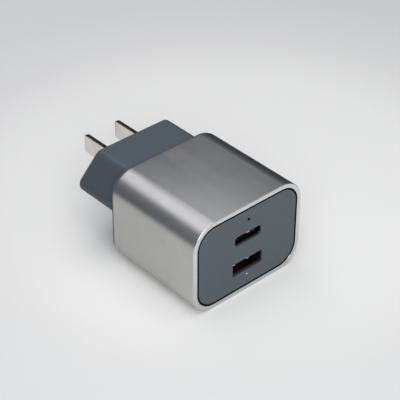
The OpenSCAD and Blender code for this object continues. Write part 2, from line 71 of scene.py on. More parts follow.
# walls, radii and gaps that no box gives: the same as in the CAD source, here and with the pieces below
SLEEVE_R = 8.4 * MM
SLEEVE_WALL = 1.5 * MM
FACE_T = 1.8 * MM
FACE_GAP = 0.45 * MM


# ---- outlines: points (x, z) with their outward normals, anticlockwise seen from the front ----------

def rounded_rect(width, height, radius, centre_x=0.0, centre_z=0.0, steps=12):
    points = []
    signs = ((1, 1), (-1, 1), (-1, -1), (1, -1))
    for quarter, (side_x, side_z) in enumerate(signs):
        for step in range(steps + 1):
            angle = math.radians(90 * (quarter + step / steps))
            nx, nz = math.cos(angle), math.sin(angle)
            x = centre_x + side_x * (width / 2 - radius) + radius * nx
            z = centre_z + side_z * (height / 2 - radius) + radius * nz
            points.append((x, z, nx, nz))
    return points


def round_hole(diameter, centre_x, centre_z, steps=32):
    points = []
    for step in range(steps):
        angle = 2 * math.pi * step / steps
        nx, nz = math.cos(angle), math.sin(angle)
        points.append((centre_x + nx * diameter / 2, centre_z + nz * diameter / 2, nx, nz))
    return points


def rounded_polygon(corners, radius, steps=10):
    points = []
    count = len(corners)
    for i, corner in enumerate(corners):
        here = Vector(corner)
        before = (here - Vector(corners[i - 1])).normalized()
        after = (Vector(corners[(i + 1) % count]) - here).normalized()
        first = math.atan2(-before.x, before.y)
        turn = before.angle(after)
        normal_in = (after - before).normalized()
        centre = here + normal_in * radius / math.cos(turn / 2)
        for step in range(steps + 1):
            angle = first + turn * step / steps
            nx, nz = math.cos(angle), math.sin(angle)
            points.append((centre.x + radius * nx, centre.y + radius * nz, nx, nz))
    return points


# ---- profiles: (inset from the outline, y) pairs ---------------------------------------------------

def round_edge(radius, y_flat, y_side, steps=5, sign=1):
    """A quarter turn from the flat end at y_flat to the side wall towards y_side; sign -1 is for a hole."""
    points = []
    direction = 1 if y_side > y_flat else -1
    for step in range(steps + 1):
        angle = math.radians(90 * step / steps)
        inset = sign * radius * (1 - math.sin(angle))
        points.append((inset, y_flat + direction * radius * (1 - math.cos(angle))))
    return points


# ---- mesh building ---------------------------------------------------------------------------------

def ring(bm, outline, inset, y):
    return [bm.verts.new((x - inset * nx, y, z - inset * nz)) for x, z, nx, nz in outline]


def bridge(bm, a, b, material=0):
    for i in range(len(a)):
        j = (i + 1) % len(a)
        bm.faces.new((a[i], a[j], b[j], b[i])).material_index = material


def loft(bm, outline, profile, materials=None):
    """A wall along the outline through the profile's insets; materials has one index for each step of it."""
    rings = [ring(bm, outline, inset, y) for inset, y in profile]
    for k in range(len(rings) - 1):
        bridge(bm, rings[k], rings[k + 1], materials[k] if materials else 0)
    return rings


def loop_edges(bm, verts):
    return [bm.edges.get((verts[i - 1], verts[i])) for i in range(len(verts))]


def cap(bm, rings):
    """Closes one flat end that lies between the given rings."""
    edges = [edge for verts in rings for edge in loop_edges(bm, verts)]
    bmesh.ops.triangle_fill(bm, use_beauty=True, use_dissolve=False, edges=edges)


def pierced_block(bm, outer, holes, pocket=None):
    """A block with through holes. Each wall is an outline with a profile from front to back; a pocket is
    sunk from the front, and then the holes run from its floor to the back."""
    outer_rings = loft(bm, *outer)
    hole_rings = [loft(bm, *hole) for hole in holes]
    starts = [rings[0] for rings in hole_rings]
    if pocket:
        pocket_rings = loft(bm, *pocket)
        cap(bm, [outer_rings[0], pocket_rings[0]])
        cap(bm, [pocket_rings[-1]] + starts)
    else:
        cap(bm, [outer_rings[0]] + starts)
    cap(bm, [outer_rings[-1]] + [rings[-1] for rings in hole_rings])


def closed_solid(bm, rings):
    """Bridges the rings in turn and closes the first and the last."""
    for a, b in zip(rings, rings[1:]):
        bridge(bm, a, b)
    bm.faces.new(rings[0])
    bm.faces.new(rings[-1])


def sections(bm, outlines):
    """A solid through outlines that are given as (y, outline), capped at both ends."""
    closed_solid(bm, [ring(bm, outline, 0, y) for y, outline in outlines])


def prism(bm, points, x0, x1):
    """A solid between x0 and x1 whose outline is (y, z) points."""
    closed_solid(bm, [[bm.verts.new((x, y, z)) for y, z in points] for x in (x0, x1)])


def ribbon(bm, route, thickness, x0, x1, ease):
    """A bent strip: the route is (y, z) points along its middle, and its long edges are eased."""
    sides = ([], [])
    for i, here in enumerate(route):
        before, after = route[max(i - 1, 0)], route[min(i + 1, len(route) - 1)]
        along = Vector((after[0] - before[0], after[1] - before[1])).normalized()
        for side, sign in zip(sides, (1, -1)):
            side.append((here[0] - sign * along.y * thickness / 2, here[1] + sign * along.x * thickness / 2))
    rings = []
    for x, share in ((x0, 0.5), (x0 + ease, 1.0), (x1 - ease, 1.0), (x1, 0.5)):
        verts = []
        for (ya, za), (yb, zb) in zip(*sides):
            y, z = (ya + yb) / 2, (za + zb) / 2
            verts.append(bm.verts.new((x, y + (ya - y) * share, z + (za - z) * share)))
        for (ya, za), (yb, zb) in reversed(list(zip(*sides))):
            y, z = (ya + yb) / 2, (za + zb) / 2
            verts.append(bm.verts.new((x, y + (yb - y) * share, z + (zb - z) * share)))
        rings.append(verts)
    closed_solid(bm, rings)


def catmull_rom(a, b, c, d, t):
    """The curve's value a share t of the way from b to c."""
    square = 2 * a - 5 * b + 4 * c - d
    cube = 3 * b - a - 3 * c + d
    return 0.5 * (2 * b + (c - a) * t + square * t * t + cube * t ** 3)


def smooth_route(points, steps=5):
    """A Catmull-Rom curve through (y, z) points."""
    route = []
    for i in range(len(points) - 1):
        near = (points[max(i - 1, 0)], points[i], points[i + 1], points[min(i + 2, len(points) - 1)])
        for step in range(steps):
            route.append(tuple(catmull_rom(*values, step / steps) for values in zip(*near)))
    return route + [points[-1]]


def weld(bm):
    """Joins the first and last ring of a profile that ends where it starts."""
    bmesh.ops.remove_doubles(bm, verts=bm.verts, dist=1e-7)


SHARP_ANGLE = math.radians(35)


def piece(name, bm, materials, body=BODY, replaces=()):
    """Makes one visible piece from the mesh, on a body, in place of the CAD nodes in replaces."""
    bmesh.ops.recalc_face_normals(bm, faces=bm.faces)
    mesh = bpy.data.meshes.new(name)
    bm.to_mesh(mesh)
    bm.free()
    mesh.shade_smooth()
    mesh.set_sharp_from_angle(angle=SHARP_ANGLE)
    obj = bpy.data.objects.new(name, mesh)
    bpy.context.scene.collection.objects.link(obj)
    for material in materials:
        mesh.materials.append(material)
    modifier = obj.modifiers.new("even_shading", "WEIGHTED_NORMAL")
    modifier.keep_sharp = True
    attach(obj, body)
    if replaces:
        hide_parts(*replaces)


# ---- materials -------------------------------------------------------------------------------------

def fill_ramp(elements, stops):
    """Sets a colour ramp's stops; each is (position, colour)."""
    while len(elements) < len(stops):
        elements.new(0.5)
    for element, (position, colour) in zip(elements, stops):
        element.position = position
        element.color = (*colour, 1)


class Shader:
    """A Principled material with a few helpers for the procedural detail that drives it."""

    def __init__(self, name, **values):
        self.material = bpy.data.materials.new(name)
        self.material.use_nodes = True
        self.tree = self.material.node_tree
        self.surface = self.tree.nodes["Principled BSDF"]
        for socket, value in values.items():
            self.surface.inputs[socket.replace("_", " ")].default_value = value
        self.place = self.node("ShaderNodeTexCoord").outputs["Object"]

    def node(self, kind, **inputs):
        made = self.tree.nodes.new(kind)
        for socket, value in inputs.items():
            made.inputs[socket].default_value = value
        return made

    def link(self, a, b):
        self.tree.links.new(a, b)

    def stretched(self, scale):
        mapping = self.node("ShaderNodeMapping", Scale=scale)
        self.link(self.place, mapping.inputs["Vector"])
        return mapping.outputs["Vector"]

    def noise(self, scale, detail=3.0, roughness=0.55, stretch=(1, 1, 1)):
        made = self.node("ShaderNodeTexNoise", Scale=scale, Detail=detail, Roughness=roughness)
        self.link(self.stretched(stretch), made.inputs["Vector"])
        return made.outputs["Fac"]

    def bands(self, scale, axis, distortion=0.0):
        made = self.node("ShaderNodeTexWave", Scale=scale, Distortion=distortion)
        made.bands_direction = axis
        self.link(self.place, made.inputs["Vector"])
        return made.outputs["Fac"]

    def cells(self, scale, stretch=(1, 1, 1)):
        made = self.node("ShaderNodeTexVoronoi", Scale=scale)
        self.link(self.stretched(stretch), made.inputs["Vector"])
        return made.outputs["Distance"]

    def spread(self, value, start, end, low=0.0, high=1.0):
        """Maps start to low and end to high, and holds the value between them."""
        made = self.node("ShaderNodeMapRange")
        made.inputs["From Min"].default_value = start
        made.inputs["From Max"].default_value = end
        made.inputs["To Min"].default_value = low
        made.inputs["To Max"].default_value = high
        self.link(value, made.inputs["Value"])
        return made.outputs["Result"]

    def measured(self, operation, vector):
        """The place's dot product with a vector, or its distance from a point."""
        made = self.node("ShaderNodeVectorMath")
        made.operation = operation
        made.inputs[1].default_value = vector
        self.link(self.place, made.inputs[0])
        return made.outputs["Value"]

    def along(self, direction, start, end):
        """0 to 1 between two distances, in metres from the origin, along a direction."""
        return self.spread(self.measured("DOT_PRODUCT", direction), start, end)

    def away(self, centre, start, end):
        """0 to 1 between two distances, in metres, from a point."""
        return self.spread(self.measured("DISTANCE", centre), start, end)

    def larger(self, a, b):
        made = self.node("ShaderNodeMath")
        made.operation = "MAXIMUM"
        self.link(a, made.inputs[0])
        self.link(b, made.inputs[1])
        return made.outputs["Value"]

    def mixed(self, fac, a, b):
        """Mixes two colours; each is a socket or a plain RGBA value."""
        made = self.node("ShaderNodeMix")
        made.data_type = "RGBA"
        self.link(fac, made.inputs["Factor"])
        for name, value in (("A", a), ("B", b)):
            socket = next(i for i in made.inputs if i.name == name and i.type == "RGBA")
            if isinstance(value, tuple):
                socket.default_value = value
            else:
                self.link(value, socket)
        return next(o for o in made.outputs if o.type == "RGBA")

    def ramp(self, fac, stops):
        made = self.node("ShaderNodeValToRGB")
        fill_ramp(made.color_ramp.elements, stops)
        self.link(fac, made.inputs["Fac"])
        return made.outputs["Color"]

    def colour(self, fac, stops):
        self.link(self.ramp(fac, stops), self.surface.inputs["Base Color"])

    def rough(self, fac, low, high):
        """Roughness between low and high over the middle of a texture's values."""
        self.link(self.spread(fac, 0.3, 0.7, low, high), self.surface.inputs["Roughness"])

    def bump(self, *layers):
        """Each layer is (height source, strength, distance in metres); they are stacked."""
        below = None
        for height, strength, distance in layers:
            made = self.node("ShaderNodeBump", Strength=strength, Distance=distance)
            self.link(height, made.inputs["Height"])
            if below:
                self.link(below, made.inputs["Normal"])
            below = made.outputs["Normal"]
        self.link(below, self.surface.inputs["Normal"])


def tint(colour, factor):
    return tuple(min(1.0, c * factor) for c in colour)


def blasted_aluminium():
    s = Shader("blasted_aluminium", Metallic=1.0)
    grain = s.noise(6000, detail=2)
    drawn = s.noise(260, detail=3, stretch=(1, 0.12, 1))
    clouds = s.noise(110, detail=4)
    base = (0.60, 0.595, 0.58)
    s.colour(clouds, [(0.3, tint(base, 0.95)), (0.7, tint(base, 1.04))])
    s.rough(drawn, 0.31, 0.36)
    s.bump((drawn, 0.03, 0.00002), (grain, 0.16, 0.00001))
    return s.material


def polished_rim():
    s = Shader("polished_rim", Metallic=1.0)
    turning = s.noise(3500, detail=2, stretch=(1, 0.2, 1))
    s.colour(s.noise(120), [(0.3, (0.57, 0.585, 0.59)), (0.7, (0.61, 0.62, 0.625))])
    s.rough(turning, 0.10, 0.20)
    s.bump((turning, 0.05, 0.00001))
    return s.material


SLATE_BASE = (0.074, 0.094, 0.113)
SHADE_BLACK = (0.003, 0.003, 0.004, 1)


def slate_plastic(name, depth=1.0, shade_from=None, shade_length=0.0):
    """Grained slate plastic, darker with a lower depth. Where a start along Y is given, painted shade darkens
    the slate to near black over the given length behind that start, as on the walls of recesses."""
    s = Shader(name, Specular_IOR_Level=0.42)
    grain = s.cells(4200)
    fine = s.noise(9000, detail=1)
    clouds = s.noise(45, detail=2)
    base = tint(SLATE_BASE, depth)
    paint = s.ramp(clouds, [(0.3, tint(base, 0.96)), (0.7, tint(base, 1.05))])
    if shade_from is not None:
        # painted shade: deeper into the part along Y, the colour goes to near black
        painted_shade = s.along((0, 1, 0), shade_from, shade_from + shade_length)
        paint = s.mixed(painted_shade, paint, SHADE_BLACK)
    s.link(paint, s.surface.inputs["Base Color"])
    s.rough(grain, 0.42, 0.56)
    s.bump((grain, 0.14, 0.00002), (fine, 0.10, 0.00001))
    return s.material


def moulded(name, base, rough=0.5, grain=2600, shine=0.5):
    s = Shader(name, Specular_IOR_Level=shine)
    s.colour(s.noise(160, detail=4), [(0.25, tint(base, 0.86)), (0.75, tint(base, 1.12))])
    s.rough(s.noise(700, detail=3), rough - 0.07, rough + 0.09)
    s.bump((s.cells(grain), 0.2, 0.00002))
    return s.material


def metal(name, base, rough=0.25, stretch=(1, 0.05, 1), strength=0.1):
    s = Shader(name, Metallic=1.0)
    lines = s.noise(2400, detail=3, stretch=stretch)
    s.colour(s.noise(260, detail=3), [(0.3, tint(base, 0.9)), (0.7, tint(base, 1.06))])
    s.rough(lines, rough - 0.05, rough + 0.1)
    s.bump((lines, strength, 0.00001))
    return s.material


def solder_mask():
    s = Shader("solder_mask", Specular_IOR_Level=0.5)
    tracks = s.bands(260, "DIAGONAL", distortion=6)
    base = (0.018, 0.15, 0.06)
    s.colour(tracks, [(0.30, (0.010, 0.085, 0.035)), (0.45, base), (0.75, (0.03, 0.20, 0.08))])
    s.rough(s.noise(900), 0.22, 0.36)
    s.bump((tracks, 0.2, 0.00003))
    return s.material


def wound_wire(name, base, axis, turns_scale):
    s = Shader(name, Coat_Weight=0.5)
    turns = s.bands(turns_scale, axis)
    # painted shade: the colour darkens in the grooves between the turns
    s.colour(turns, [(0.1, tint(base, 0.35)), (0.6, tint(base, 1.05))])
    s.rough(s.noise(1200), 0.24, 0.38)
    s.bump((turns, 0.9, 0.0001))
    return s.material


def ferrite():
    s = Shader("ferrite")
    s.colour(s.noise(1500, detail=6), [(0.35, (0.035, 0.035, 0.038)), (0.7, (0.10, 0.10, 0.105))])
    s.rough(s.noise(500), 0.55, 0.75)
    s.bump((s.noise(2600, detail=5), 0.4, 0.00004))
    return s.material


def film(name, base, rough):
    s = Shader(name, Coat_Weight=0.35)
    s.colour(s.noise(220, detail=2), [(0.3, tint(base, 0.9)), (0.7, tint(base, 1.08))])
    s.rough(s.noise(300), rough - 0.05, rough + 0.1)
    s.bump((s.noise(420, detail=2), 0.35, 0.00006))
    return s.material


def lens(name, base, glow=0.0, coat=0.3):
    s = Shader(name, Coat_Weight=coat, Specular_IOR_Level=coat)
    s.colour(s.noise(900), [(0.3, tint(base, 0.9)), (0.7, tint(base, 1.05))])
    s.rough(s.noise(1500), 0.15, 0.25)
    if glow:
        s.surface.inputs["Emission Color"].default_value = (0.92, 0.96, 1.0, 1)
        s.surface.inputs["Emission Strength"].default_value = glow
    s.bump((s.noise(3000), 0.1, 0.00001))
    return s.material


ALUMINIUM = blasted_aluminium()
RIM = polished_rim()
SLATE = slate_plastic("slate_plastic")
# painted shade: a darker slate for the plug's slanting sides, which get less light
SLATE_SHADED_FACETS = slate_plastic("slate_facets_painted_shade", 0.70)
FACE_DEPTH = 0.84
# painted shade: the face's window and hole walls go dark behind the front
FACE_SLATE_SHADED = slate_plastic("face_slate_painted_shade", FACE_DEPTH, face_low.y + 0.12 * MM, 0.55 * MM)
# painted shade: the windows' floors fade from slate to near black over a longer depth
WINDOW_FLOOR_SHADED = slate_plastic("window_floor_painted_shade", FACE_DEPTH, face_low.y, 1.5 * MM)
RUBBER = moulded("black_adhesive", (0.003, 0.003, 0.004), rough=0.7, grain=1500, shine=0.06)
KEEPER = moulded("keeper_plastic", (0.64, 0.57, 0.47), rough=0.45)
MAROON = moulded("maroon_plastic", (0.30, 0.020, 0.016), rough=0.35)
SHELL = metal("shell_steel", (0.30, 0.13, 0.12), rough=0.24)
NICKEL = metal("nickel_plate", (0.95, 0.90, 0.82), rough=0.18)
# painted reflection: a dark metal for the blades' narrow faces
BLADE_EDGE_DARK_REFLECTION = metal("blade_edge_painted_reflection", (0.13, 0.125, 0.11), rough=0.34, stretch=(0.05, 0.4, 1), strength=0.3)
GOLD = metal("gold_plate", (0.86, 0.62, 0.26), rough=0.22)
DARK_LENS = lens("dark_lens", (0.004, 0.004, 0.005), coat=0.0)
LIT_LENS = lens("lit_lens", (0.70, 0.73, 0.78), glow=0.22)
MATERIALS = {
    "anodised_aluminium": ALUMINIUM,
    "slate_plastic": SLATE,
    "black_adhesive": RUBBER,
    "black_plastic": moulded("black_plastic", (0.022, 0.022, 0.024)),
    "nickel_plate": NICKEL,
    "white_plastic": moulded("white_plastic", (0.66, 0.65, 0.60), rough=0.45),
    "copper_alloy": metal("copper_alloy", (0.78, 0.55, 0.27), rough=0.28),
    "circuit_board": solder_mask(),
    "ceramic_body": moulded("ceramic_body", (0.66, 0.56, 0.42), rough=0.4, grain=1800),
    "blue_epoxy": film("blue_epoxy", (0.03, 0.14, 0.40), 0.22),
    "yellow_plastic": moulded("yellow_plastic", (0.78, 0.52, 0.05), rough=0.42),
    "tinned_wire": metal("tinned_wire", (0.72, 0.72, 0.70), rough=0.3),
    "black_epoxy": moulded("black_epoxy", (0.028, 0.028, 0.030), rough=0.6, grain=3200),
    "ferrite": ferrite(),
    "enamelled_copper": wound_wire("enamelled_copper", (0.60, 0.22, 0.06), "Z", 700),
    "bare_aluminium": metal("bare_aluminium", (0.76, 0.76, 0.77), rough=0.3, stretch=(1, 1, 0.05)),
    "dark_jacket": film("dark_jacket", (0.016, 0.022, 0.05), 0.25),
    "yellow_tape": film("yellow_tape", (0.80, 0.56, 0.05), 0.22),
    "grey_rubber": moulded("grey_rubber", (0.36, 0.40, 0.44), rough=0.8, grain=1400),
    "copper_sheet": metal("copper_sheet", (0.78, 0.42, 0.27), rough=0.3, stretch=(0.05, 1, 1)),
    "insulating_film": film("insulating_film", (0.70, 0.70, 0.63), 0.3),
    "chip_ceramic": moulded("chip_ceramic", (0.42, 0.32, 0.21), rough=0.4),
    "led_package": moulded("led_package", (0.80, 0.80, 0.72), rough=0.3),
    "dark_lens": DARK_LENS,
    "lit_lens": LIT_LENS,
    "polished_steel": SHELL,
    "maroon_plastic": MAROON,
    "gold_plate": GOLD,
}


def dress_cad_nodes():
    """Gives every CAD node the material of its slot."""
    for row in frame["record"]["subparts"]:
        mesh = nodes[row["node"]].data
        mesh.materials.clear()
        mesh.materials.append(MATERIALS[row["material_slot"]])


dress_cad_nodes()


# ---- casing ----------------------------------------------------------------------------------------

def sleeve():
    """A drawn aluminium tube with a polished rim cut across its front and a fine chamfer at the back."""
    width, height = sleeve_high.x - sleeve_low.x, sleeve_high.z - sleeve_low.z
    front, rear = sleeve_low.y, sleeve_high.y
    outline = rounded_rect(width, height, SLEEVE_R, 0, MID_Z, steps=20)
    rim_cut = 0.25 * MM
    inner_cut = 0.05 * MM
    rear_cut = 0.18 * MM
    rear_edge = round_edge(rear_cut, rear, front, steps=3)
    rim_edge = round_edge(rim_cut, front, rear, steps=6)[::-1]
    inner_edge = [(SLEEVE_WALL - inner_cut, front), (SLEEVE_WALL, front + inner_cut)]
    outside = rear_edge + rim_edge + inner_edge
    profile = outside + [(SLEEVE_WALL, rear - inner_cut), (SLEEVE_WALL - inner_cut, rear), (rear_cut, rear)]
    polished = range(len(rear_edge) + 2, len(outside) - 1)      # from the third step of the rim's edge
    bm = bmesh.new()
    loft(bm, outline, profile, [int(k in polished) for k in range(len(profile) - 1)])
    weld(bm)
    piece("sleeve", bm, [ALUMINIUM, RIM], replaces=["metal_sleeve"])


USB_A_WINDOW = (12.1 * MM, 4.6 * MM, 0.4 * MM)
USB_C_WINDOW = (10.6 * MM, 3.4 * MM, 1.0 * MM)
USB_A_LIP = 1.5 * MM
USB_C_LIP = 1.0 * MM
RELIEF = 0.6 * MM
PIN_HOLE = 0.8 * MM


def window_wall(window, z, lip, front, back):
    """The wall of a port's window: a soft front edge, the lip, and the relief cut from behind."""
    edge = 0.18 * MM
    outline = rounded_rect(*window, 0, z, steps=10)
    profile = round_edge(edge, front, back, steps=4, sign=-1)
    return outline, profile + [(0, front + lip), (-RELIEF, front + lip), (-RELIEF, back)]


def pin_hole_wall(node, edge, material, front, back):
    """The wall of an indicator's hole, with one material from front to back."""
    low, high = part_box(node)
    z = (low.z + high.z) / 2
    profile = round_edge(edge, front, back, steps=3, sign=-1) + [(0, back)]
    return round_hole(PIN_HOLE, 0, z), profile, [material] * (len(profile) - 1)


HOOK_XS = (-8 * MM, 8 * MM)
HOOK_WIDTH = 6 * MM
HOOK_OUT = 13.35 * MM        # from the sleeve's centre to the outer side of each hook's arm
HOOK_LENGTH = 4 * MM


def snap_hook(bm, x, side, root):
    """An arm behind the face, with a ramped barb that snaps into the inner case."""
    arm, barb, barb_length = 1 * MM, 0.8 * MM, 1 * MM
    tip = root + HOOK_LENGTH
    outline = [(root - 0.1 * MM, HOOK_OUT - arm), (tip, HOOK_OUT - arm), (tip, HOOK_OUT + 0.15 * MM),
               (tip - barb_length + 0.3 * MM, HOOK_OUT + barb), (tip - barb_length, HOOK_OUT + barb),
               (tip - barb_length, HOOK_OUT), (root - 0.1 * MM, HOOK_OUT)]
    points = [(y, MID_Z + side * out) for y, out in outline]
    prism(bm, points, x - HOOK_WIDTH / 2, x + HOOK_WIDTH / 2)


def faceplate():
    """The slate face with its two windows, two indicator holes and four hooks, with painted shade on the
    walls of its windows and holes and on its outer edge.
    """
    paint, floor, black = 0, 1, 2      # the order of the piece's materials
    front, back = face_low.y, face_low.y + FACE_T
    width, height = face_high.x - face_low.x, face_high.z - face_low.z
    corner = SLEEVE_R - SLEEVE_WALL - FACE_GAP
    outline = rounded_rect(width, height, corner, 0, MID_Z, steps=20)
    holes = [
        window_wall(USB_C_WINDOW, usb_c_z, USB_C_LIP, front, back),
        window_wall(USB_A_WINDOW, usb_a_z, USB_A_LIP, front, back),
        # painted shade: the upper indicator's hole walls are black
        pin_hole_wall("upper_light_pipe", 0.14 * MM, black, front, back),
        pin_hole_wall("lower_light_pipe", 0.08 * MM, paint, front, back),
    ]
    bm = bmesh.new()
    # painted shade: the face's rounded outer edge is black, deepening the dark line round the face
    edge = round_edge(0.22 * MM, front, back) + [(0, back)]
    pierced_block(bm, (outline, edge, [black] * (len(edge) - 1)), holes)
    bmesh.ops.recalc_face_normals(bm, faces=bm.faces)
    for face in bm.faces:
        middle = face.calc_center_median()
        if face.normal.z > 0.5 and abs(middle.x) < USB_A_WINDOW[0] / 2 and abs(middle.z - MID_Z) < 9 * MM:
            face.material_index = floor      # a window's floor, with painted shade darkening towards the back
    for x in HOOK_XS:
        for side in (-1, 1):
            snap_hook(bm, x, side, back)
    piece("faceplate", bm, [FACE_SLATE_SHADED, WINDOW_FLOOR_SHADED, RUBBER], replaces=["front_faceplate"])


def black_seal():
    """Soft black adhesive: a bead fills the gap round the face, and a flange bonds it from behind."""
    front = sleeve_low.y + 0.07 * MM
    face_side = face_low.y + 0.16 * MM
    face_back = face_low.y + FACE_T
    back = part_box("faceplate_adhesive")[1].y
    width = sleeve_high.x - sleeve_low.x - 2 * SLEEVE_WALL
    height = sleeve_high.z - sleeve_low.z - 2 * SLEEVE_WALL
    outline = rounded_rect(width, height, SLEEVE_R - SLEEVE_WALL, 0, MID_Z, steps=20)
    thin, dip, flange = 0.01 * MM, 0.16 * MM, 1.25 * MM
    profile = [(thin, back), (thin, front), (FACE_GAP / 2, front + dip), (FACE_GAP - thin, face_side),
               (FACE_GAP - thin, face_back), (flange, face_back), (flange, back), (thin, back)]
    bm = bmesh.new()
    loft(bm, outline, profile)
    weld(bm)
    piece("black_seal", bm, [RUBBER], replaces=["faceplate_adhesive"])


def rear_plate():
    """The cover's flange behind the sleeve, its stepped hollow spigot, and the way through to the plug."""
    front, back = cover_low.y, cover_high.y
    rear = sleeve_high.y
    lip_inset = sleeve_high.x - cover_high.x
    width, height = cover_high.x - cover_low.x, cover_high.z - cover_low.z
    spigot = SLEEVE_WALL + 0.1 * MM - lip_inset
    step = rear + 0.02 * MM
    ease = 0.2 * MM
    outline = rounded_rect(width, height, SLEEVE_R - lip_inset, 0, MID_Z, steps=20)
    outer = (outline, [(spigot, front), (spigot, step), (0, step), (0, back - ease), (ease, back)])
    wall = 1.3 * MM + spigot
    hollow = rounded_rect(width - 2 * wall, height - 2 * wall, SLEEVE_R - lip_inset - wall, 0, MID_Z, steps=8)
    floor = rear - 0.3 * MM
    way = rounded_rect(26 * MM, 14 * MM, 2 * MM, 0, plug_z, steps=6)
    bm = bmesh.new()
    pierced_block(bm, outer, [(way, [(0, floor), (0, back)])], pocket=(hollow, [(0, front), (0, floor)]))
    piece("rear_plate", bm, [SLATE], replaces=["rear_cover"])


PLUG_TOP_HALF = 13.9 * MM
PLUG_RIDGE_HALF = 23.1 * MM
PLUG_HALF_H = 9.5 * MM
PLUG_EDGE_R = 3.0 * MM
PLUG_WALL = 1.6 * MM


def blade_slot_wall(node, front, back):
    """The wall of a blade's slot, with a chamfer at the back."""
    low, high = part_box(node)
    gap = 0.1 * MM
    width, height = high.x - low.x + 2 * gap, high.z - low.z + 2 * gap
    outline = rounded_rect(width, height, 0.2 * MM, (low.x + high.x) / 2, (low.z + high.z) / 2, steps=4)
    return outline, [(0, front), (0, back - 0.25 * MM), (-0.25 * MM, back)]


def plug_outline(inset):
    """The plug block's six sides with rounded corners, moved inwards by inset."""
    top, side, high = PLUG_TOP_HALF, PLUG_RIDGE_HALF, PLUG_HALF_H
    corners = [(side, 0), (top, high), (-top, high), (-side, 0), (-top, -high), (top, -high)]
    outline = rounded_polygon([(x, z + plug_z) for x, z in corners], PLUG_EDGE_R, steps=12)
    return [(x - nx * inset, z - nz * inset, nx, nz) for x, z, nx, nz in outline]


def plug_block():
    """The six-sided block, hollow from the front, with a slot for each blade."""
    front, back = plug_low.y, plug_high.y
    ease = 0.12 * MM
    outer = (plug_outline(0), [(ease, front), (0, front + ease)] + round_edge(0.8 * MM, back, front, 8)[::-1])
    floor = back - 2 * MM
    slots = [blade_slot_wall(node, floor, back) for node in ("live_blade", "neutral_blade")]
    bm = bmesh.new()
    pierced_block(bm, outer, slots, pocket=(plug_outline(PLUG_WALL), [(0, front), (0, floor)]))
    bmesh.ops.recalc_face_normals(bm, faces=bm.faces)
    for face in bm.faces:
        if abs(face.normal.x) > 0.3:
            face.material_index = 1      # painted shade: the slanting sides are darker, as less light falls on them
    piece("plug_block", bm, [SLATE, SLATE_SHADED_FACETS], replaces=["plug_housing"])


def blade(name, node):
    """A flat plated bar with eased edges, a painted dark reflection on its narrow faces, and a slightly
    tapered tip.
    """
    low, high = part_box(node)
    x, z = (low.x + high.x) / 2, (low.z + high.z) / 2
    t, h = high.x - low.x, high.z - low.z
    ease = 0.1 * MM
    taper, thinning, slope, rounding = 1.0 * MM, 0.5 * MM, 0.4 * MM, 0.8 * MM
    steps = 8
    outlines = [(low.y, rounded_rect(t - 2 * ease, h - 2 * ease, ease, x, z, 3)),
                (low.y + ease, rounded_rect(t, h, ease, x, z, 3))]
    for step in range(steps + 1):
        share = step / steps
        drop = 1 - math.sqrt(1 - share ** 2)
        width = t - thinning * drop
        height = h - slope * share - rounding * drop
        outlines.append((high.y - taper * (1 - share), rounded_rect(width, height, ease, x, z, 3)))
    bm = bmesh.new()
    sections(bm, outlines)
    bmesh.ops.recalc_face_normals(bm, faces=bm.faces)
    for face in bm.faces:
        # painted reflection: the narrow faces get the dark metal, and the broad sides plain nickel
        face.material_index = 0 if abs(face.normal.x) > 0.7 else 1
    piece(name, bm, [NICKEL, BLADE_EDGE_DARK_REFLECTION], replaces=[node])


# ---- ports and indicators --------------------------------------------------------------------------

SHELL_T = 0.3 * MM


def usb_c_socket():
    """A drawn shell with a funnelled mouth."""
    width, height = usb_c_high.x - usb_c_low.x, usb_c_high.z - usb_c_low.z
    outline = rounded_rect(width, height, 1.56 * MM, 0, usb_c_z, steps=10)
    front, back = usb_c_low.y, usb_c_high.y
    lead = 0.18 * MM
    profile = [(0, back), (0, front + 0.06 * MM), (0.06 * MM, front), (SHELL_T - lead, front),
               (SHELL_T, front + lead * 2), (SHELL_T, back), (0, back)]
    bm = bmesh.new()
    loft(bm, outline, profile)
    weld(bm)
    piece("usb_c_socket", bm, [SHELL], replaces=["usb_c_shell"])


def keeper(name, shell, window, z, tabs):
    """Pale tabs from a shell's top wall, along the top of its window; each is (middle, half width)."""
    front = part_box(shell)[0].y
    thick = 0.22 * MM
    level = z + window[1] / 2 - 0.01 * MM - thick / 2
    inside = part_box(shell)[1].z - SHELL_T / 2
    start = face_low.y + 0.1 * MM
    route = [(front + 0.7 * MM, inside), (front + 0.1 * MM, (inside + level) / 2),
             (face_low.y + 1.0 * MM, level), (start + 0.3 * MM, level), (start, level - 0.12 * MM)]
    bm = bmesh.new()
    for middle, half in tabs:
        ribbon(bm, smooth_route(route, 4), thick, middle - half, middle + half, 0.05 * MM)
    piece(name, bm, [KEEPER])


def usb_c_tongue():
    """The thin central tongue with rounded front corners, and the moulded block behind it."""
    low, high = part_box("usb_c_insulator")
    z = usb_c_z
    tongue_w, tongue_t = 6.7 * MM, 0.7 * MM
    nose, corner, steps = 0.7 * MM, 0.12 * MM, 6
    front, root = low.y, usb_c_high.y - 1.2 * MM
    bm = bmesh.new()
    outlines = []
    for step in range(steps + 1):
        angle = math.radians(90 * step / steps)
        shy = nose * (1 - math.sin(angle))
        thin = corner * (1 - math.sin(angle))
        y = front + nose * (1 - math.cos(angle))
        outlines.append((y, rounded_rect(tongue_w - 2 * shy, tongue_t - 2 * thin, corner, 0, z, 3)))
    outlines.append((root, rounded_rect(tongue_w, tongue_t, corner, 0, z, 3)))
    sections(bm, outlines)
    ease = 0.15 * MM
    blocks = [(root, usb_c_high.y, 6 * MM, 2.3 * MM), (usb_c_high.y, high.y, 8.8 * MM, 3.1 * MM)]
    for y0, y1, width, height in blocks:
        small = rounded_rect(width - 2 * ease, height - 2 * ease, 0.4 * MM, 0, z, 4)
        full = rounded_rect(width, height, 0.5 * MM, 0, z, 4)
        sections(bm, [(y0, small), (y0 + ease, full), (y1 - ease, full), (y1, small)])
    piece("usb_c_tongue", bm, [MAROON], replaces=["usb_c_insulator"])


